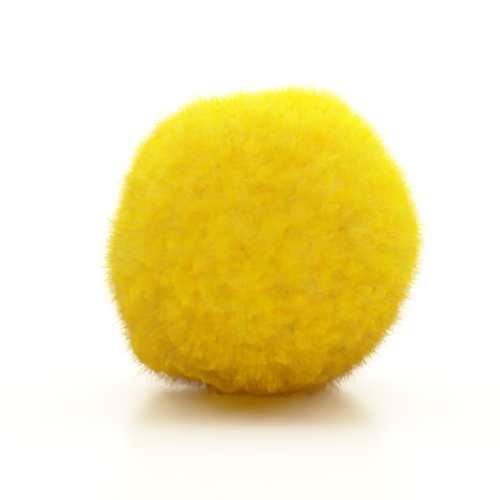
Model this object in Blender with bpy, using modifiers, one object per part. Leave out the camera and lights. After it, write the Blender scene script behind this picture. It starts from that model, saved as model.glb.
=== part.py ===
"""Yarn pom pom: one ball of cut yarn ends, trimmed round, standing on a small flat spot.

Metres, +Z up. The origin is on the surface that the ball stands on, under its middle.
"""

import math

import bmesh
import bpy
import numpy as np
from mathutils import Vector

# Driving dimensions, in metres
BALL_RADIUS = 0.025  # from the middle of the ball to the trimmed yarn ends
RESTING_HEIGHT = 0.0235  # height of the ball's middle, a little under its radius: the yarn gives way there
ROOT_RADIUS = 0.0172  # the locks part here, and are one body further in
FLOOR_ROOM = 0.0008  # a lock that would end nearer to the resting plane than this stands on it

# Locks of yarn. The ball is a net of triangles between knots, and each triangle holds three locks.
KNOTS = 51
LOCK_ANGLE = math.sqrt(4 * math.pi / (3 * (2 * KNOTS - 4)))  # a lock's mean width, seen from the middle
KNOT_ROUNDS = 30  # times that the knots push each other apart
KNOT_PUSH = 0.012
LOCK_EVENING = 4  # times that the locks' corners move towards the middle of their neighbours
CORNER_STRAY = 0.18  # how far a corner then strays, as a share of a lock's width
LOCK_LEAN = 0.05  # how far a lock's end leans over, as a share of its width
SHORTEST_SHARE = 0.950  # locks end between the outline and this share of it
SEED = 7

# The rings of a lock, outwards from its root: height along the lock and width, both from 0 to 1
LOCK_RINGS = (
    {"height": 0.40, "width": 0.93},
    {"height": 0.72, "width": 0.86},
    {"height": 0.91, "width": 0.66},
    {"height": 1.00, "width": 0.32},
)

# Where the ball is fuller or flatter than a sphere. around_deg turns from +X towards +Y, up_deg rises from
# the ball's middle, rise is a share of its radius, and spread_deg is how far the rise reaches to each side.
SWELLS = (
    {"around_deg": 0, "up_deg": 61, "rise": 0.059, "spread_deg": 11},
    {"around_deg": 0, "up_deg": 42, "rise": -0.026, "spread_deg": 10},
    {"around_deg": 0, "up_deg": -2, "rise": 0.032, "spread_deg": 7},
    {"around_deg": 0, "up_deg": -21, "rise": -0.044, "spread_deg": 9},
    {"around_deg": 180, "up_deg": 81, "rise": -0.042, "spread_deg": 10},
    {"around_deg": 180, "up_deg": 50, "rise": 0.035, "spread_deg": 12},
    {"around_deg": 180, "up_deg": 16, "rise": -0.052, "spread_deg": 12},
    {"around_deg": 180, "up_deg": -18, "rise": 0.028, "spread_deg": 11},
    {"around_deg": 180, "up_deg": -45, "rise": 0.126, "spread_deg": 10.5},
    {"around_deg": 245, "up_deg": 22, "rise": 0.015, "spread_deg": 14},
    {"around_deg": 290, "up_deg": 38, "rise": -0.016, "spread_deg": 13},
    {"around_deg": 305, "up_deg": -12, "rise": 0.018, "spread_deg": 15},
    {"around_deg": 262, "up_deg": -28, "rise": -0.014, "spread_deg": 13},
    {"around_deg": 55, "up_deg": 30, "rise": 0.036, "spread_deg": 15},
    {"around_deg": 95, "up_deg": 52, "rise": -0.030, "spread_deg": 13},
    {"around_deg": 128, "up_deg": 5, "rise": 0.034, "spread_deg": 15},
    {"around_deg": 80, "up_deg": -8, "rise": -0.034, "spread_deg": 13},
    {"around_deg": 60, "up_deg": -42, "rise": 0.032, "spread_deg": 13},
)

YARN_COLOUR = (0.84, 0.60, 0.010, 1.0)
YARN_ROUGHNESS = 0.95
DOWN = Vector((0, 0, -1))


def clear_scene():
    for old in list(bpy.data.objects):
        bpy.data.objects.remove(old, do_unlink=True)


def direction(around_deg, up_deg):
    """The unit vector from the ball's middle at this turn and rise."""
    around, up = math.radians(around_deg), math.radians(up_deg)
    return Vector((math.cos(up) * math.cos(around), math.cos(up) * math.sin(around), math.sin(up)))


def outline_radius(toward):
    """How far the trimmed yarn ends reach in this direction: the ball's radius and each swell there."""
    share = 1.0
    for swell in SWELLS:
        off = toward.angle(direction(swell["around_deg"], swell["up_deg"]))
        spread = math.radians(swell["spread_deg"])
        share += swell["rise"] * math.exp(-0.5 * (off / spread) ** 2)
    return BALL_RADIUS * share


def knots(chance):
    """Points on the unit sphere that start anywhere and push each other nearly evenly apart."""
    points = chance.normal(size=(KNOTS, 3))
    for _ in range(KNOT_ROUNDS):
        points /= np.linalg.norm(points, axis=1, keepdims=True)
        apart = points[:, None] - points[None]
        gap = np.linalg.norm(apart, axis=2) + np.eye(KNOTS)
        points += KNOT_PUSH * (apart / gap[..., None] ** 3).sum(axis=1)
    return points / np.linalg.norm(points, axis=1, keepdims=True)


def lock_net(chance):
    """A ball of four-sided faces, one for each lock: the net between the knots, with each of its
    triangles split in three by a Subdivision Surface."""
    net = bmesh.new()
    for point in knots(chance):
        net.verts.new(point)
    bmesh.ops.convex_hull(net, input=net.verts[:])
    mesh = bpy.data.meshes.new("lock_net")
    net.to_mesh(mesh)
    net.free()
    cage = bpy.data.objects.new("lock_net", mesh)
    bpy.context.scene.collection.objects.link(cage)
    split = cage.modifiers.new("split", "SUBSURF")
    split.levels = split.render_levels = 1
    bm = bmesh.new()
    bm.from_object(cage, bpy.context.evaluated_depsgraph_get())
    bpy.data.objects.remove(cage, do_unlink=True)
    bpy.data.meshes.remove(mesh)
    return bm


def spread_over_roots(bm, chance):
    """Evens out the locks' corners on the root ball, lets each stray a little, and turns the ball
    until the middle of its lowest lock points straight down."""
    every_way = {"use_axis_x": True, "use_axis_y": True, "use_axis_z": True}
    for _ in range(LOCK_EVENING):
        bmesh.ops.smooth_vert(bm, verts=bm.verts[:], factor=0.5, **every_way)
        for corner in bm.verts:
            corner.co.normalize()
    for corner in bm.verts:
        stray = Vector(chance.uniform(-1, 1, 3)) * CORNER_STRAY * LOCK_ANGLE
        corner.co = (corner.co + stray).normalized()
    lowest = min((lock.calc_center_median().normalized() for lock in bm.faces), key=lambda axis: axis.z)
    bmesh.ops.rotate(bm, verts=bm.verts[:], matrix=lowest.rotation_difference(DOWN).to_matrix())
    bmesh.ops.scale(bm, verts=bm.verts[:], vec=[ROOT_RADIUS] * 3)


def draw_lock(axis, chance):
    """What is settled once for each lock: its axis, how far it leans, and how far out it ends."""
    return {
        "axis": axis,
        "lean": Vector(chance.uniform(-1, 1, 3)) * LOCK_LEAN * LOCK_ANGLE,
        "reach": outline_radius(axis) * chance.uniform(SHORTEST_SHARE, 1),
    }


def on_floor(lock):
    return -lock["axis"].z * lock["reach"] > RESTING_HEIGHT - FLOOR_ROOM


def raise_ring(cap, lock, rise, shrink, height):
    """Sets a lock's newest ring, narrower about the lock's axis and further out towards its end.

    A lock under the ball is shorter: each of its corners is heading for the resting plane, so that
    it ends level there.
    """
    for corner in cap.verts:
        outward = corner.co.normalized()
        lean = Vector() if on_floor(lock) else lock["lean"] * rise
        toward = (lock["axis"] + (outward - lock["axis"]) * shrink + lean).normalized()
        end = RESTING_HEIGHT / -toward.z if on_floor(lock) else lock["reach"]
        corner.co = toward * (ROOT_RADIUS + (end - ROOT_RADIUS) * height)


def yarn_pile():
    """One body: a ball on which every face of the net rises as a four-sided lock with a blunt end."""
    chance = np.random.default_rng(SEED)
    bm = lock_net(chance)
    spread_over_roots(bm, chance)
    number = bm.faces.layers.int.new("lock")
    locks = []
    for face in bm.faces:
        face[number] = len(locks)
        locks.append(draw_lock(face.calc_center_median().normalized(), chance))

    caps = bm.faces[:]
    height, width = 0.0, 1.0
    for ring in LOCK_RINGS:
        caps = bmesh.ops.extrude_discrete_faces(bm, faces=caps)["faces"]
        for cap in caps:
            rise, shrink = ring["height"] - height, ring["width"] / width
            raise_ring(cap, locks[cap[number]], rise, shrink, ring["height"])
        height, width = ring["height"], ring["width"]

    bmesh.ops.translate(bm, verts=bm.verts[:], vec=(0, 0, RESTING_HEIGHT))
    bmesh.ops.triangulate(bm, faces=bm.faces[:])
    mesh = bpy.data.meshes.new("yarn_pile")
    bm.to_mesh(mesh)
    bm.free()
    return bpy.data.objects.new("yarn_pile", mesh)


def yarn_material():
    material = bpy.data.materials.new("yellow_yarn")
    material.use_nodes = True
    shader = material.node_tree.nodes["Principled BSDF"]
    shader.inputs["Base Color"].default_value = YARN_COLOUR
    shader.inputs["Roughness"].default_value = YARN_ROUGHNESS
    shader.inputs["Metallic"].default_value = 0.0
    material.diffuse_color = YARN_COLOUR
    return material


def main():
    clear_scene()
    parts = bpy.data.collections.new("yarn_pom_pom")
    bpy.context.scene.collection.children.link(parts)
    pile = yarn_pile()
    pile.data.materials.append(yarn_material())
    parts.objects.link(pile)


main()
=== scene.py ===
import math

import bpy
import numpy as np
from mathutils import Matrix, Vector


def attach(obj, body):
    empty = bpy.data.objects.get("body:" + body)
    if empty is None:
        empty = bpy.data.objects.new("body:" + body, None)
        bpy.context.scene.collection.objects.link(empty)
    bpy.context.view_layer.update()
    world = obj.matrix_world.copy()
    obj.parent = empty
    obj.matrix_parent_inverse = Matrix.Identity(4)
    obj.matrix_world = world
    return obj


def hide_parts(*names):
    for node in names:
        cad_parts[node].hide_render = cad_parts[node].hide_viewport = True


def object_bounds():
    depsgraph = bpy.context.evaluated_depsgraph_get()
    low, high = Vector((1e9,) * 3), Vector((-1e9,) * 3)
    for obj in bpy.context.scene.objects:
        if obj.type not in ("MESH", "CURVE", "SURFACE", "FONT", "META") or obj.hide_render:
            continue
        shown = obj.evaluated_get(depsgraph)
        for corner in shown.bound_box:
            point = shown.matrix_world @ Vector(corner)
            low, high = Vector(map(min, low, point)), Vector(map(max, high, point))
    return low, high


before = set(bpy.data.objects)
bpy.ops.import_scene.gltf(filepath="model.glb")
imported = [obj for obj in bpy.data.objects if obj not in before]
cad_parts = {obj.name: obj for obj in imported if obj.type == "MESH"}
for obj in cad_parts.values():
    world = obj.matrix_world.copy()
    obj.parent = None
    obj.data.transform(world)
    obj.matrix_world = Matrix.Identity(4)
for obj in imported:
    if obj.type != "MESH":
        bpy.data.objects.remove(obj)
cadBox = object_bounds()
solidSize = [round(1000 * side, 1) for side in cadBox[1] - cadBox[0]]
print("frame loaded: the yarn ball's solid is", solidSize, "mm")

# The trimmed ball, in metres. It stands on the floor at z = 0, with its middle over the origin.
ball = {"radius": 0.025, "middleHeight": 0.0235}

# Where the ball is fuller or flatter than a sphere: around turns from +X towards +Y, up rises from the
# middle, both in degrees, rise is a share of the radius, and spread is how far it reaches, in degrees.
swells = (
    {"around": 0, "up": 61, "rise": 0.059, "spread": 11},
    {"around": 0, "up": 42, "rise": -0.026, "spread": 10},
    {"around": 0, "up": -2, "rise": 0.032, "spread": 7},
    {"around": 0, "up": -21, "rise": -0.044, "spread": 9},
    {"around": 180, "up": 81, "rise": -0.042, "spread": 10},
    {"around": 180, "up": 50, "rise": 0.035, "spread": 12},
    {"around": 180, "up": 16, "rise": -0.052, "spread": 12},
    {"around": 180, "up": -18, "rise": 0.028, "spread": 11},
    {"around": 180, "up": -45, "rise": 0.126, "spread": 10.5},
    {"around": 245, "up": 22, "rise": 0.015, "spread": 14},
    {"around": 290, "up": 38, "rise": -0.016, "spread": 13},
    {"around": 305, "up": -12, "rise": 0.018, "spread": 15},
    {"around": 262, "up": -28, "rise": -0.014, "spread": 13},
    {"around": 55, "up": 30, "rise": 0.036, "spread": 15},
    {"around": 95, "up": 52, "rise": -0.030, "spread": 13},
    {"around": 128, "up": 5, "rise": 0.034, "spread": 15},
    {"around": 80, "up": -8, "rise": -0.034, "spread": 13},
    {"around": 60, "up": -42, "rise": 0.032, "spread": 13},
)


# Unit vectors: each row of the array divided by its length.
def unit(vectors):
    return vectors / np.linalg.norm(vectors, axis=-1, keepdims=True)


# The direction at these turns and rises: (cos up cos around, cos up sin around, sin up).
def direction(around, up):
    around, up = np.broadcast_arrays(np.radians(around), np.radians(up))
    return np.stack([np.cos(up) * np.cos(around), np.cos(up) * np.sin(around), np.sin(up)], axis=-1)


# The outline's radius: the ball's, times one plus every swell's rise, which falls off with the angle from the
# swell's middle as exp(-(angle / spread)^2 / 2).
def outlineRadius(towards):
    share = np.ones(towards.shape[:-1])
    for swell in swells:
        angle = np.degrees(np.arccos(np.clip(towards @ direction(swell["around"], swell["up"]), -1, 1)))
        share += swell["rise"] * np.exp(-0.5 * (angle / swell["spread"]) ** 2)
    return ball["radius"] * share


# How far from the ball's middle a direction comes down to the gap over the floor: the middle's height over
# the gap, divided by -z, or very far where the direction rises.
def floorRadius(towards, gap):
    down = np.maximum(-towards[..., 2], 1e-6)
    return (ball["middleHeight"] - gap) / down


# Even directions: point i of n on a golden-angle spiral, at height 1 - (2i + 1)/n, then moved a little at
# random, by the jitter as a share of the spacing, sqrt(4 pi / n).
def spiralDirections(count, jitter, chance):
    step = np.arange(count)
    height = 1 - (2 * step + 1) / count
    turn = step * math.pi * (3 - math.sqrt(5))
    ring = np.sqrt(1 - height**2)
    points = np.stack([ring * np.cos(turn), ring * np.sin(turn), height], axis=-1)
    return unit(points + chance.normal(size=points.shape) * jitter * math.sqrt(4 * math.pi / count))


# The tangent part of vectors: what is left when their share along the directions is taken out.
def tangent(vectors, towards):
    return vectors - (vectors * towards).sum(axis=-1, keepdims=True) * towards


# The soft tufts that the yarn ends gather in, about two for each lock of the solid.
tufts = {
    "count": 600,
    "rounds": 14,  # times that they push each other apart
    "push": 0.0008,
    "creaseWidth": 0.8,  # how far a crease reaches from its line, as a share of the spacing
    "creaseDepth": 0.0003,  # how far the pile drops between two tufts
    "heightSpread": 0.00042,
    "leanSpread": 0.00045,
    "seed": 11,
}


# Tuft middles: random directions that push each other apart, each by the sum of gap / |gap|^3.
def tuftDirections():
    chance = np.random.default_rng(tufts["seed"])
    points = unit(chance.normal(size=(tufts["count"], 3)))
    for _ in range(tufts["rounds"]):
        gap = points[:, None] - points[None]
        apart = np.linalg.norm(gap, axis=2) + np.eye(tufts["count"])
        points = unit(points + tufts["push"] * (gap / apart[..., None] ** 3).sum(axis=1))
    return points


tuftAxes = tuftDirections()
tuftChance = np.random.default_rng(tufts["seed"] + 1)
tuftHeights = tuftChance.normal(size=tufts["count"]) * tufts["heightSpread"]
tuftLeans = tangent(tuftChance.normal(size=(tufts["count"], 3)) * tufts["leanSpread"], tuftAxes)


# The nearest tuft to each direction, and how deep the direction lies in the crease round it: 1 on the line
# where the angles to the two nearest tufts are equal, falling smoothly to 0 at a tuft's middle.
def nearestTuft(towards):
    angles = np.arccos(np.clip(towards @ tuftAxes.T, -1, 1))
    nearest = angles.argmin(axis=1)
    two = np.partition(angles, 1, axis=1)[:, :2]
    spacing = math.sqrt(4 * math.pi / tufts["count"])
    middle = np.clip((two[:, 1] - two[:, 0]) / (tufts["creaseWidth"] * spacing), 0, 1)
    return nearest, (1 - middle) ** 2


# Soft lumps with narrow creases, all over the pile.
lumps = {
    "waves": 40,
    "waveAcross": 15.0,  # spread of the waves' numbers, in radians of phase for each unit of direction
    "waveUp": 27.0,  # and upwards
    "full": 1.6,  # the waves' sum at which a lump is full, as a share of the sum's usual size
    "level": 0.7,  # the lump height that leaves the pile where it is
    "height": 0.00070,  # from a crease to a lump's top
    "tone": 0.22,  # painted light and shade: how much paler a lump's top is than its crease
    "seed": 3,
}


# Lumps: the square root of the size of a sum of sine waves along random directions, from 0 to 1. Where the
# sum passes 0 is a crease, and the lump's height there is 0. It is 1 on a full lump's top.
def lumpHeight(towards):
    chance = np.random.default_rng(lumps["seed"])
    spread = [lumps["waveAcross"], lumps["waveAcross"], lumps["waveUp"]]
    waves = chance.normal(size=(lumps["waves"], 3)) * spread
    phases = chance.uniform(0, 2 * math.pi, lumps["waves"])
    total = np.sin(towards @ waves.T + phases).sum(axis=-1) * math.sqrt(2 / lumps["waves"])
    return np.sqrt(np.clip(np.abs(total) / lumps["full"], 0, 1))


# Colours and finish of the dyed yarn. Some are painted light and shade: a deeper colour deep in the pile, in
# creases and where the ball faces the floor is painted shade, and the paler colour over the outline is a
# painted sheen.
# The colours are linear. A tone runs from 0, deepest, to 1.
yarnColours = {
    # The packed yarn's deep colour, where the tone is low, is painted shade in creases and where the ball faces
    # the floor, as well as the mottle's darker flecks.
    "packedDeep": (0.99, 0.765, 0.003, 1),
    "packedPale": (0.995, 0.87, 0.008, 1),
    "packedFade": (0.75, 1.0),  # the tones, mottle added, at which those two colours are reached
    "deep": (0.99, 0.82, 0.004, 1),  # under the outline: painted shade deep in the pile
    "end": (0.99, 0.89, 0.012, 1),  # near the outline
    "tip": (1.0, 0.94, 0.300, 1),  # over the outline: a painted pale sheen on the ends
    "heights": (0.10, 0.45, 0.85),  # the heights on the map at which those three are reached
    "outlineLevel": 0.5,  # the outline's height on the map
    "fade": 0.0036,  # the height in metres from 0 to 1 on the map
    "paintedShade": (0.95, 0.575, 0.002, 1),  # painted shade where the tone is low: where the ball faces the floor, and in creases
    "paintedShadeFade": (0.15, 0.60),  # the tones at which the painted shade colour is strongest, and gone
    "paintedShadeShare": 0.8,  # how much of the painted shade colour there is at its strongest
    "paintedShadeStart": 0.20,  # the z of the direction under which the ball faces the floor and the painted shade begins
    "paintedShadeTone": 0.72,  # how much lower the tone is straight down, as painted shade
    "sideRelief": 0.75,  # how much less of that painted shade there is at the ball's left and right
    "toneLimits": (0.01, 0.98),
    "sideTone": 0.003,  # a strand's corners differ by this much in tone, so that no side is a line on the map
    "softHeights": (0.35, 0.75),
    "softness": (2.0, 1.0),  # how far the shading turns to the ball's outward direction, at those heights
    "roughness": 0.8,
    "shine": 1.03,  # the index of refraction: 1 has no shine
    "letThrough": 0.66,  # the share of light that passes through a strand
}


# How far directions have turned to the floor, which weights the painted shade under the ball: 0 above the
# start, rising evenly to 1 straight down. It is less by the side relief times the squared cosine of the level
# angle between the direction and the nearest side.
def turnedDown(towards):
    start = yarnColours["paintedShadeStart"]
    down = np.clip((start - towards[..., 2]) / (start + 1), 0, 1)
    sideways = towards[..., 0] ** 2 / np.maximum(1 - towards[..., 2] ** 2, 0.01)
    return down * (1 - yarnColours["sideRelief"] * sideways)


# Puts arrays in a mesh: points, triangles, a map that holds (tone, height) for each triangle's corners and,
# where they are given, the points' shading normals.
def meshFromArrays(name, points, triangles, cornerMap, normals=None):
    mesh = bpy.data.meshes.new(name)
    mesh.vertices.add(len(points))
    mesh.vertices.foreach_set("co", points.astype(np.float32).ravel())
    mesh.loops.add(triangles.size)
    mesh.loops.foreach_set("vertex_index", triangles.astype(np.int32).ravel())
    mesh.polygons.add(len(triangles))
    mesh.polygons.foreach_set("loop_start", np.arange(0, triangles.size, 3, dtype=np.int32))
    mesh.update(calc_edges=True)
    uvMap = mesh.uv_layers.new(name="OFBake")
    uvMap.uv.foreach_set("vector", cornerMap.astype(np.float32).ravel())
    mesh.shade_smooth()
    if normals is not None:
        mesh.normals_split_custom_set_from_vertices(normals.astype(np.float32))
    piece = bpy.data.objects.new(name, mesh)
    bpy.context.scene.collection.objects.link(piece)
    return piece


# A mesh of three-sided strands. Each follows its row of path points: every point but the last has a triangle
# about it, of the given width, square to the path, and the last one is the strand's pointed end. Its shading
# normal is its own plus the softness times the ball's outward direction, made a unit vector.
def strandMesh(name, paths, widths, tones, palest, chance):
    strands, rings = paths.shape[:2]
    along = unit(np.gradient(paths, axis=1))
    side = unit(np.cross(along, chance.normal(size=(strands, 1, 3))))
    other = np.cross(along, side)
    turns = np.arange(3) * 2 * math.pi / 3
    around = side[:, :, None] * np.cos(turns)[:, None] + other[:, :, None] * np.sin(turns)[:, None]
    rims = paths[:, :, None] + around * widths[..., None, None] / 2
    body = rims[:, :-1].reshape(strands, -1, 3)
    points = np.concatenate([body, paths[:, -1:]], axis=1)

    corner, following = np.arange(3), (np.arange(3) + 1) % 3
    faces = [[0, 2, 1]]
    for ring in range(rings - 2):
        low, high = 3 * ring, 3 * ring + 3
        faces += np.stack([low + corner, low + following, high + following], axis=1).tolist()
        faces += np.stack([low + corner, high + following, high + corner], axis=1).tolist()
    last, end = 3 * (rings - 2), 3 * (rings - 1)
    faces += np.stack([last + corner, last + following, np.full(3, end)], axis=1).tolist()
    faces = np.array(faces)
    each = end + 1
    triangles = (faces[None] + (np.arange(strands) * each)[:, None, None]).reshape(-1, 3)

    sideTones = np.append(np.tile(np.arange(3), rings - 1), 1) * yarnColours["sideTone"]
    tone = tones[:, None, None] + sideTones[faces][None]
    # The height on the map sets the colour: deep in the pile a painted shade, over the outline a painted pale
    # sheen.
    away = points - [0, 0, ball["middleHeight"]]
    over = np.linalg.norm(away, axis=-1) - outlineRadius(unit(away))
    height = np.clip(yarnColours["outlineLevel"] + over / yarnColours["fade"], 0, palest)
    cornerMap = np.stack([tone, height[:, faces]], axis=-1).reshape(-1, 2)
    own = np.concatenate([around[:, :-1].reshape(strands, -1, 3), along[:, -1:]], axis=1)
    softness = np.interp(height, yarnColours["softHeights"], yarnColours["softness"])[..., None]
    normals = unit(own + softness * unit(away))
    return meshFromArrays(name, points.reshape(-1, 3), triangles, cornerMap, normals.reshape(-1, 3))


# The pile: clumps of strands that start spread, lean together and end at different heights.
pile = {
    "clumps": 7000,
    "strandsEach": 12,
    "jitter": 0.22,
    "rings": (0.0, 0.70, 1.0),  # where a strand's path points are, as shares of its length
    "taper": (1.0, 0.90, 0.0),  # its width there
    "rootDepth": 0.0021,  # how far under the outline a strand starts
    "shortest": 0.0006,
    "clumpWidth": 0.00055,  # spread of a clump's roots
    "gather": 0.90,  # share of that spread left at its ends
    "clumpLean": 0.00025,
    "leanPower": 1.6,  # a lean grows with this power of the share of the length
    "clumpRise": 0.00030,
    "endFall": 0.00060,  # strands end this far under their clump's height, on average
    "endRise": 0.00070,  # and then this far over it, on average
    "longestRise": 0.0028,  # and never further
    "clumpHeight": 0.00040,  # a clump's height over the outline
    "splay": 0.15,  # how far a tuft's outer clumps bend away from its middle
    "strandWidth": 0.000040,
    "widthSpread": (0.75, 1.2),
    "endSpread": 0.00075,  # how far the ends then scatter
    "curl": 0.00055,
    "floorGap": 0.00006,
    "rootFloorGap": 0.0012,  # how much more room than that a strand leaves at its root
    "tone": 0.58,
    "clumpTone": 0.05,  # how far a clump strays from that tone
    "strandTone": 0.02,  # and a strand from its clump's
    "palest": 0.98,  # the height on the map that they don't pass, short of the full painted sheen
    "seed": 5,
    "zoneSeed": 15,  # the first zone's, for how its strands' sides turn
}


# The pile's strands as arrays. A clump ends at the outline, plus its tuft's height, its own and its lump's,
# less the crease. It leans with its tuft, away from the tuft's middle, and a little its own way. Its strands
# start spread, come a little together, curl, and end scattered, at exponential depths and rises.
def pileStrands():
    chance = np.random.default_rng(pile["seed"])
    clumps, each = pile["clumps"], pile["strandsEach"]
    towards = spiralDirections(clumps, pile["jitter"], chance)
    nearest, crease = nearestTuft(towards)
    outline = outlineRadius(towards)
    lump = lumpHeight(towards)
    reach = outline + tuftHeights[nearest] - tufts["creaseDepth"] * crease + pile["clumpHeight"]
    reach += lumps["height"] * (lump - lumps["level"])
    reach += chance.normal(size=clumps) * pile["clumpRise"]
    lean = tuftLeans[nearest] + tangent(chance.normal(size=(clumps, 3)) * pile["clumpLean"], towards)
    lean += pile["splay"] * tangent(towards - tuftAxes[nearest], towards) * ball["radius"]

    shape = (clumps, each, 3)
    radial = towards[:, None]
    spread = tangent(chance.normal(size=shape) * pile["clumpWidth"], radial)
    curl = tangent(chance.normal(size=shape) * pile["curl"], radial)
    ends = tangent(chance.normal(size=shape) * pile["endSpread"], radial)
    start = (outline - pile["rootDepth"])[:, None] * np.ones(shape[:2])
    end = reach[:, None] - chance.exponential(pile["endFall"], shape[:2])
    end += np.minimum(chance.exponential(pile["endRise"], shape[:2]), pile["longestRise"])
    end = np.maximum(end, start + pile["shortest"])
    paths = np.empty((clumps, each, 3, 3))
    for ring, rise in enumerate(pile["rings"]):
        out = start + (end - start) * rise
        offset = spread * (1 + (pile["gather"] - 1) * rise) + lean[:, None] * rise ** pile["leanPower"]
        offset = offset + (curl if ring == 1 else 0) + (ends if ring == 2 else 0)
        aim = unit(radial * out[..., None] + offset)
        out = np.minimum(out, floorRadius(aim, pile["floorGap"] + pile["rootFloorGap"] * (1 - rise)))
        paths[:, :, ring] = aim * out[..., None]
    paths[..., 2] += ball["middleHeight"]
    width = pile["strandWidth"] * chance.uniform(*pile["widthSpread"], shape[:2])
    widths = width[..., None] * np.array(pile["taper"])
    tones = pile["tone"] + pile["clumpTone"] * chance.normal(size=(clumps, 1))
    tones = tones + pile["strandTone"] * chance.normal(size=shape[:2])
    # Painted light and shade: the tone is raised on lump tops and lowered in the creases.
    tones += lumps["tone"] * (lump - lumps["level"])[:, None]
    # Painted shade: the tone is lowered where the ball faces the floor.
    tones -= yarnColours["paintedShadeTone"] * turnedDown(towards)[:, None]
    return towards, paths, widths, np.clip(tones, *yarnColours["toneLimits"])


# The zones that the pile is made in: the side of a cube that each clump's direction points through.
def zoneOf(towards):
    axis = np.abs(towards).argmax(axis=1)
    positive = np.take_along_axis(towards, axis[:, None], axis=1)[:, 0] > 0
    return 2 * axis + positive


# The pile's meshes, one for each zone: the strands whose clumps point through that side of the cube.
def buildPile(material):
    towards, paths, widths, tones = pileStrands()
    zones = zoneOf(towards)
    names = ("yarnPileLeft", "yarnPileRight", "yarnPileFront", "yarnPileBack", "yarnPileUnder", "yarnPileTop")
    pieces = []
    for zone, name in enumerate(names):
        held = zones == zone
        chance = np.random.default_rng(pile["zoneSeed"] + zone)
        rows = paths[held].reshape(-1, 3, 3)
        rowWidths = widths[held].reshape(-1, 3)
        piece = strandMesh(name, rows, rowWidths, tones[held].ravel(), pile["palest"], chance)
        piece.data.materials.append(material)
        pieces.append(piece)
        print("pile:", name, len(rows), "strands,", len(piece.data.polygons), "triangles")
    return pieces


# Single hairs that stand out of the pile.
strays = {
    "count": 3000,
    "jitter": 0.5,
    "rings": (0.0, 0.4, 0.75, 1.0),  # where a hair's path points are, as shares of its length
    "taper": (1.0, 0.9, 0.7, 0.0),  # its width there
    "rootDepth": 0.0018,
    "reach": 0.0013,  # they pass the outline by this much, on average
    "longest": 0.0040,
    "lean": 0.0009,
    "curl": 0.00040,
    "curlTurn": 1.5,  # half waves of the curl along a hair
    "width": 0.000038,
    "widthSpread": (0.7, 1.2),
    "tone": 0.58,
    "toneSpread": 0.05,
    "paintedShadeTone": 0.62,  # painted shade: how much lower their tone and the wisps' is straight down
    "palest": 0.44,  # the height on the map that they don't pass: higher up, their tips would take more of the painted pale sheen
    "seed": 23,
}


# Stray hairs: each starts inside the pile and runs out past it by an exponential length, bending as it goes.
# Its lean grows with the square of the share of its length, and its curl is a sine of that share.
def buildStrays(material):
    chance = np.random.default_rng(strays["seed"])
    count = strays["count"]
    towards = spiralDirections(count, strays["jitter"], chance)
    nearest, crease = nearestTuft(towards)
    outline = outlineRadius(towards) + tuftHeights[nearest] - tufts["creaseDepth"] * crease
    past = np.minimum(chance.exponential(strays["reach"], count), strays["longest"])
    lean = tangent(chance.normal(size=(count, 3)) * strays["lean"], towards)
    bend = tangent(chance.normal(size=(count, 3)) * strays["curl"], towards)
    paths = np.empty((count, 4, 3))
    for ring, rise in enumerate(strays["rings"]):
        out = outline - strays["rootDepth"] + (past + strays["rootDepth"]) * rise
        offset = lean * rise**2 + bend * math.sin(math.pi * strays["curlTurn"] * rise)
        aim = unit(towards * out[:, None] + offset)
        out = np.minimum(out, floorRadius(aim, pile["floorGap"]))
        paths[:, ring] = aim * out[:, None]
    paths[..., 2] += ball["middleHeight"]
    width = strays["width"] * chance.uniform(*strays["widthSpread"], (count, 1))
    widths = width * np.array(strays["taper"])
    tones = strays["tone"] + strays["toneSpread"] * chance.normal(size=count)
    # Painted shade: their tone is lowered where the ball faces the floor.
    tones = np.clip(tones - strays["paintedShadeTone"] * turnedDown(towards), *yarnColours["toneLimits"])
    piece = strandMesh("yarnStrays", paths, widths, tones, strays["palest"], chance)
    piece.data.materials.append(material)
    print("strays:", count, "hairs,", len(piece.data.polygons), "triangles")
    return piece


# Wisps: small bundles that end together in a point, well out of the pile. The corner one is a bigger tuft.
wisps = {
    "count": 150,
    "strandsEach": 9,
    "jitter": 0.6,
    "rings": (0.0, 0.35, 0.7, 1.0),  # where a strand's path points are, as shares of its length
    "taper": (1.0, 0.95, 0.8, 0.0),  # its width there
    "rootDepth": 0.0015,
    "reach": (0.0010, 0.0026),  # how far the shortest and the longest pass the outline
    "strandReach": (0.7, 1.0),  # a strand's share of its wisp's reach
    "width": 0.00045,
    "gather": 0.8,  # share of that width lost at the point
    "lean": 0.0009,
    "strandWidth": (0.8, 1.3),  # as shares of a stray hair's
    "tone": 0.6,
    "toneSpread": 0.1,
    "cornerAround": 181,
    "cornerUp": -47,
    "seed": 31,
}


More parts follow.
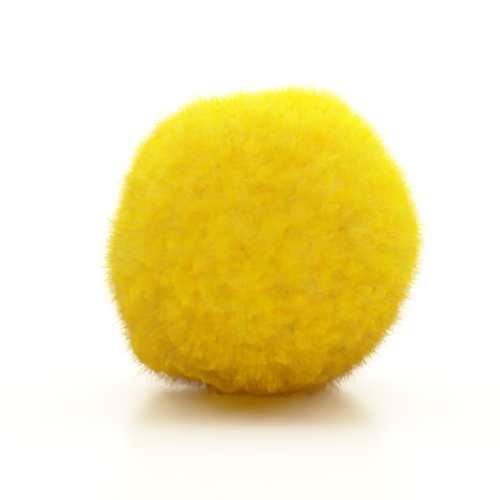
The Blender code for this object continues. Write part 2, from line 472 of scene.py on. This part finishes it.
# Wisps: each bundle's strands start spread over its width and all end near one point. They lean aside
# together, with the square of the share of their length.
def buildWisps(material):
    chance = np.random.default_rng(wisps["seed"])
    count, each = wisps["count"], wisps["strandsEach"]
    towards = spiralDirections(count, wisps["jitter"], chance)
    reach = chance.uniform(*wisps["reach"], count)
    towards[0] = direction(wisps["cornerAround"], wisps["cornerUp"])
    reach[0] = wisps["reach"][1]
    outline = outlineRadius(towards)
    lean = tangent(chance.normal(size=(count, 3)) * wisps["lean"], towards)
    radial = towards[:, None]
    spread = tangent(chance.normal(size=(count, each, 3)) * wisps["width"], radial)
    past = reach[:, None] * chance.uniform(*wisps["strandReach"], (count, each))
    paths = np.empty((count, each, 4, 3))
    for ring, rise in enumerate(wisps["rings"]):
        out = outline[:, None] - wisps["rootDepth"] + (past + wisps["rootDepth"]) * rise
        offset = spread * (1 - wisps["gather"] * rise) + lean[:, None] * rise**2
        aim = unit(radial * out[..., None] + offset)
        out = np.minimum(out, floorRadius(aim, pile["floorGap"]))
        paths[:, :, ring] = aim * out[..., None]
    paths[..., 2] += ball["middleHeight"]
    width = strays["width"] * chance.uniform(*wisps["strandWidth"], (count * each, 1))
    widths = width * np.array(wisps["taper"])
    tones = wisps["tone"] + wisps["toneSpread"] * chance.normal(size=count * each)
    # Painted shade: the wisps' tone is lowered where the ball faces the floor.
    tones -= strays["paintedShadeTone"] * np.repeat(turnedDown(towards), each)
    tones = np.clip(tones, *yarnColours["toneLimits"])
    piece = strandMesh("yarnWisps", paths.reshape(-1, 4, 3), widths, tones, strays["palest"], chance)
    piece.data.materials.append(material)
    print("wisps:", count, "bundles,", len(piece.data.polygons), "triangles")
    return piece


# The packed yarn under the pile.
packedYarn = {
    "rings": 90,
    "depth": 0.0009,
    "tuftShare": 0.5,  # how much of a tuft's height it follows
    "creaseDepth": 0.0004,
    "lumpHeight": 0.0009,
    "floorGap": 0.0003,
    "lumpTone": 0.9,  # painted light and shade: how much paler a lump's top is than its crease
    "columnTone": 0.05,  # every second column is this much paler, so that no face is a line on the map
    "heightMap": (0.5, 0.4),  # the height on the map at the middle, and how much it gains up to the top
    "mottleScale": 1400,
    "mottleDetail": 6,
    "mottleRoughness": 0.65,
    "bumpStrength": 0.25,
    "bumpDistance": 0.0002,
    "roughness": 0.9,
    "shine": 0.10,  # the strength of its shine, 0.5 being usual
    "scatterRadius": (1.0, 0.35, 0.03),  # how far red, green and blue travel inside, before the scale
    "scatterScale": 0.030,
    "letThrough": 0.70,
}


# The packed yarn: a closed grid of rings and turns whose radius is the outline's, with a share of each tuft's
# height and the lumps, less a depth and the creases.
def buildPackedYarn(material):
    rings, turns = packedYarn["rings"], 2 * packedYarn["rings"]
    up = np.linspace(-90, 90, rings + 1)[1:-1]
    around = np.arange(turns) * 360 / turns
    grid = direction(around[None, :], up[:, None]).reshape(-1, 3)
    towards = np.concatenate([[[0, 0, -1.0]], grid, [[0, 0, 1.0]]])
    nearest, crease = nearestTuft(towards)
    lump = lumpHeight(towards)
    out = outlineRadius(towards) + tuftHeights[nearest] * packedYarn["tuftShare"]
    out -= packedYarn["depth"] + packedYarn["creaseDepth"] * crease
    out += packedYarn["lumpHeight"] * (lump - lumps["level"])
    out = np.minimum(out, floorRadius(towards, packedYarn["floorGap"]))
    points = towards * out[:, None]
    points[:, 2] += ball["middleHeight"]

    row = 1 + np.arange(rings - 2)[:, None] * turns
    here, after = np.arange(turns), (np.arange(turns) + 1) % turns
    low = np.stack([row + here, row + after, row + turns + after], axis=-1).reshape(-1, 3)
    high = np.stack([row + here, row + turns + after, row + turns + here], axis=-1).reshape(-1, 3)
    lastRow, top = 1 + (rings - 2) * turns, len(points) - 1
    floorFan = np.stack([1 + after, 1 + here, np.zeros(turns, int)], axis=1)
    topFan = np.stack([lastRow + here, lastRow + after, np.full(turns, top)], axis=1)
    triangles = np.concatenate([low, high, floorFan, topFan])

    # Painted light and shade: the tone is raised on lump tops and lowered in the creases.
    tones = packedYarn["lumpTone"] * lump + packedYarn["columnTone"] * (np.arange(len(points)) % 2)
    # Painted shade: the tone is lowered where the ball faces the floor.
    tones -= yarnColours["paintedShadeTone"] * turnedDown(towards)
    middle, gain = packedYarn["heightMap"]
    cornerMap = np.stack([tones, middle + gain * towards[:, 2]], axis=-1)[triangles]
    piece = meshFromArrays("packedYarn", points, triangles, cornerMap.reshape(-1, 2))
    piece.data.materials.append(material)
    print("packed yarn:", len(triangles), "triangles")
    return piece


# A new node with these values on its inputs. An underscore stands for a space in an input's name.
def addNode(tree, kind, **inputs):
    node = tree.nodes.new(kind)
    for name, value in inputs.items():
        node.inputs[name.replace("_", " ")].default_value = value
    return node


# A colour ramp over a factor: colours at their positions, and straight mixes between them.
def ramp(tree, factor, stops):
    node = tree.nodes.new("ShaderNodeValToRGB")
    node.color_ramp.elements[0].position, node.color_ramp.elements[0].color = stops[0]
    node.color_ramp.elements[1].position, node.color_ramp.elements[1].color = stops[-1]
    for position, colour in stops[1:-1]:
        node.color_ramp.elements.new(position).color = colour
    tree.links.new(factor, node.inputs["Fac"])
    return node.outputs["Color"]


# One sum, product or other operation on two values, each a number or another node's output.
def calculate(tree, operation, first, second):
    node = tree.nodes.new("ShaderNodeMath")
    node.operation = operation
    for socket, value in zip(node.inputs, (first, second)):
        if isinstance(value, (int, float)):
            socket.default_value = value
        else:
            tree.links.new(value, socket)
    return node.outputs["Value"]


# What a piece's own map holds: its X output is the tone, and its Y output the height.
def mapParts(tree):
    uvMap = tree.nodes.new("ShaderNodeUVMap")
    uvMap.uv_map = "OFBake"
    parts = tree.nodes.new("ShaderNodeSeparateXYZ")
    tree.links.new(uvMap.outputs["UV"], parts.inputs["Vector"])
    return parts.outputs


# Ends a material: its shader, mixed by a share with light of the same colour that passes through.
def letLightThrough(tree, shader, colour, share):
    through = tree.nodes.new("ShaderNodeBsdfTranslucent")
    tree.links.new(colour, through.inputs["Color"])
    both = tree.nodes.new("ShaderNodeMixShader")
    both.inputs["Fac"].default_value = share
    tree.links.new(shader.outputs["BSDF"], both.inputs[1])
    tree.links.new(through.outputs["BSDF"], both.inputs[2])
    tree.links.new(both.outputs["Shader"], tree.nodes["Material Output"].inputs["Surface"])


# Fine yarn: the colour runs with height from the deep colour under the outline, a painted shade, to the pale
# one over it, a painted sheen, and turns to the painted shade colour as the tone falls. Part of the light goes
# through the fibre.
def strandMaterial():
    material = bpy.data.materials.new("brushedYellowYarn")
    material.use_nodes = True
    tree = material.node_tree
    shader = tree.nodes["Principled BSDF"]
    parts = mapParts(tree)
    share = yarnColours["paintedShadeShare"]
    strongest, gone = yarnColours["paintedShadeFade"]
    colours = (yarnColours["deep"], yarnColours["end"], yarnColours["tip"])
    mix = tree.nodes.new("ShaderNodeMix")
    mix.data_type = "RGBA"
    deeper = ramp(tree, parts["X"], [(strongest, (share, share, share, 1)), (gone, (0, 0, 0, 1))])
    tree.links.new(deeper, mix.inputs["Factor"])
    tree.links.new(ramp(tree, parts["Y"], list(zip(yarnColours["heights"], colours))), mix.inputs["A"])
    mix.inputs["B"].default_value = yarnColours["paintedShade"]
    tree.links.new(mix.outputs["Result"], shader.inputs["Base Color"])
    shader.inputs["Roughness"].default_value = yarnColours["roughness"]
    shader.inputs["IOR"].default_value = yarnColours["shine"]
    letLightThrough(tree, shader, mix.outputs["Result"], yarnColours["letThrough"])
    return material


# Packed yarn: deep to pale with the tone plus a fine mottle, which is noise in the piece's own space and raises
# the surface a little too. The tone is painted shade in creases and where the ball faces the floor and painted
# light on lump tops; the mottle is the yarn's own uneven tone.
def packedMaterial():
    material = bpy.data.materials.new("packedYellowYarn")
    material.use_nodes = True
    tree = material.node_tree
    shader = tree.nodes["Principled BSDF"]
    place = tree.nodes.new("ShaderNodeTexCoord")
    noise = addNode(tree, "ShaderNodeTexNoise", Scale=packedYarn["mottleScale"],
                    Detail=packedYarn["mottleDetail"], Roughness=packedYarn["mottleRoughness"])
    tree.links.new(place.outputs["Object"], noise.inputs["Vector"])
    mottled = calculate(tree, "ADD", mapParts(tree)["X"], noise.outputs["Fac"])
    colours = (yarnColours["packedDeep"], yarnColours["packedPale"])
    colour = ramp(tree, mottled, list(zip(yarnColours["packedFade"], colours)))
    tree.links.new(colour, shader.inputs["Base Color"])
    bump = addNode(tree, "ShaderNodeBump", Strength=packedYarn["bumpStrength"],
                   Distance=packedYarn["bumpDistance"])
    tree.links.new(noise.outputs["Fac"], bump.inputs["Height"])
    tree.links.new(bump.outputs["Normal"], shader.inputs["Normal"])
    shader.inputs["Roughness"].default_value = packedYarn["roughness"]
    shader.inputs["Specular IOR Level"].default_value = packedYarn["shine"]
    shader.inputs["Subsurface Weight"].default_value = 1.0
    shader.inputs["Subsurface Radius"].default_value = packedYarn["scatterRadius"]
    shader.inputs["Subsurface Scale"].default_value = packedYarn["scatterScale"]
    letLightThrough(tree, shader, colour, packedYarn["letThrough"])
    return material


strandYarn = strandMaterial()
made = buildPile(strandYarn)
made.append(buildStrays(strandYarn))
made.append(buildWisps(strandYarn))
made.append(buildPackedYarn(packedMaterial()))
for piece in made:
    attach(piece, "root")
    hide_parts("yarn_pile")
print("all pieces:", sum(len(piece.data.polygons) for piece in made), "triangles")

# The setting: a pale floor, one large soft light above and behind, and a camera a little above the floor.
setting = {
    "floorWidth": 6.0,
    "floorColour": (0.60, 0.595, 0.575, 1),
    "floorRoughness": 0.22,
    "roomLight": (0.50, 0.33, 0.0, 1),
    "softboxLight": 10.5,
    "softboxAcross": (-1.35, 3.2),  # where the softbox is, as x / z and y / z of the direction to it
    "softboxBack": (0.06, 0.90),
    "softboxEdge": 0.12,
    "softboxUp": (0.10, 0.15),  # the z of the direction at which it starts and is full
    "backdropLight": 2.8,
    "backdropBack": (0.0, 0.8),  # the y of the direction at which the backdrop's glow starts and is full
    "backdropUp": (0.6, 0.1),  # and the z
    "lightBounces": 24,  # between yarns
    "otherBounces": 4,  # allowed on top of those
    "white": 1.84,  # the radiance that is shown as white
    "toneCurve": ((0.31, 0.55), (0.47, 0.76), (0.59, 0.86), (0.76, 0.94)),  # shares of white, in and out
    "sensorWidth": 36,  # millimetres
    "cameraDistance": 0.30,
    "cameraRise": 8.0,  # degrees above the floor
    "cameraSees": (0.01, 20),  # from this near to this far
    "frameWidth": 0.0806,  # what the camera's frame spans at the ball
    "aimRight": -0.0021,  # the aim is this far right of the ball's middle
    "aimUp": -0.00113,
}


# The floor: one square about the origin, from minus to plus half its width.
def buildFloor():
    half = setting["floorWidth"] / 2
    mesh = bpy.data.meshes.new("paleFloor")
    corners = [(-half, -half, 0), (half, -half, 0), (half, half, 0), (-half, half, 0)]
    mesh.from_pydata(corners, [], [(0, 1, 2, 3)])
    floor = bpy.data.objects.new("paleFloor", mesh)
    bpy.context.scene.collection.objects.link(floor)
    material = bpy.data.materials.new("paleFloor")
    material.use_nodes = True
    shader = material.node_tree.nodes["Principled BSDF"]
    shader.inputs["Base Color"].default_value = setting["floorColour"]
    shader.inputs["Roughness"].default_value = setting["floorRoughness"]
    mesh.materials.append(material)


# A soft step: 0 up to the start, 1 from the full value on (either way round), smooth between them.
def softStep(tree, value, start, full):
    step = tree.nodes.new("ShaderNodeMapRange")
    step.interpolation_type = "SMOOTHSTEP"
    step.inputs["From Min"].default_value = start
    step.inputs["From Max"].default_value = full
    tree.links.new(value, step.inputs["Value"])
    return step.outputs["Result"]


# The sky: white where the camera looks past the floor. As a light it is a softbox above and behind, the
# product of soft steps over x / z, y / z and z, plus a low backdrop glow behind and a little yellow room
# light from everywhere.
def buildSky():
    world = bpy.data.worlds.new("softStudio")
    world.use_nodes = True
    tree = world.node_tree
    seen = tree.nodes["Background"]
    seen.inputs["Color"].default_value = (1, 1, 1, 1)
    seen.inputs["Strength"].default_value = setting["white"]
    place = tree.nodes.new("ShaderNodeTexCoord")
    parts = tree.nodes.new("ShaderNodeSeparateXYZ")
    tree.links.new(place.outputs["Generated"], parts.inputs["Vector"])
    across, back, up = parts.outputs["X"], parts.outputs["Y"], parts.outputs["Z"]
    total = softStep(tree, up, *setting["softboxUp"])
    edge = setting["softboxEdge"]
    for value, (low, high) in ((across, setting["softboxAcross"]), (back, setting["softboxBack"])):
        slope = calculate(tree, "DIVIDE", value, up)
        total = calculate(tree, "MULTIPLY", total, softStep(tree, slope, low - edge, low + edge))
        total = calculate(tree, "MULTIPLY", total, softStep(tree, slope, high + edge, high - edge))
    total = calculate(tree, "MULTIPLY", total, setting["softboxLight"])
    glowBack = softStep(tree, back, *setting["backdropBack"])
    glow = calculate(tree, "MULTIPLY", glowBack, softStep(tree, up, *setting["backdropUp"]))
    total = calculate(tree, "ADD", total, calculate(tree, "MULTIPLY", glow, setting["backdropLight"]))
    lights = addNode(tree, "ShaderNodeBackground", Color=(1, 1, 1, 1))
    tree.links.new(total, lights.inputs["Strength"])
    room = addNode(tree, "ShaderNodeBackground", Color=setting["roomLight"], Strength=1.0)
    fill = tree.nodes.new("ShaderNodeAddShader")
    tree.links.new(lights.outputs["Background"], fill.inputs[0])
    tree.links.new(room.outputs["Background"], fill.inputs[1])
    path = tree.nodes.new("ShaderNodeLightPath")
    pick = tree.nodes.new("ShaderNodeMixShader")
    tree.links.new(path.outputs["Is Camera Ray"], pick.inputs["Fac"])
    tree.links.new(fill.outputs["Shader"], pick.inputs[1])
    tree.links.new(seen.outputs["Background"], pick.inputs[2])
    tree.links.new(pick.outputs["Shader"], tree.nodes["World Output"].inputs["Surface"])
    bpy.context.scene.world = world


# The camera stands off the ball by its distance, at its rise. Its lens spans the frame's width there: its
# focal length is the sensor's width times distance / frame width.
def buildCamera():
    lens = bpy.data.cameras.new("camera")
    lens.sensor_width = setting["sensorWidth"]
    lens.lens = setting["sensorWidth"] * setting["cameraDistance"] / setting["frameWidth"]
    lens.clip_start, lens.clip_end = setting["cameraSees"]
    camera = bpy.data.objects.new("camera", lens)
    rise = math.radians(setting["cameraRise"])
    back = Vector((0, -math.cos(rise), math.sin(rise)))
    above = Vector((0, math.sin(rise), math.cos(rise)))
    aim = Vector((setting["aimRight"], 0, ball["middleHeight"])) + above * setting["aimUp"]
    camera.location = aim + back * setting["cameraDistance"]
    camera.rotation_euler = (-back).to_track_quat("-Z", "Y").to_euler()
    bpy.context.scene.collection.objects.link(camera)
    bpy.context.scene.camera = camera


# The render's tones: radiance as a share of white, lifted by a curve through the named points, which is steep
# up to about a third of white and then bends over to white.
def buildTones():
    view = bpy.context.scene.view_settings
    view.view_transform = "Standard"
    view.use_curve_mapping = True
    tones = view.curve_mapping
    tones.white_level = (setting["white"],) * 3
    line = tones.curves[3]
    for across, up in setting["toneCurve"]:
        line.points.new(across, up)
    tones.update()


buildFloor()
buildSky()
buildCamera()
buildTones()
bpy.context.scene.cycles.diffuse_bounces = setting["lightBounces"]
bpy.context.scene.cycles.max_bounces = setting["lightBounces"] + setting["otherBounces"]
print("setting built")
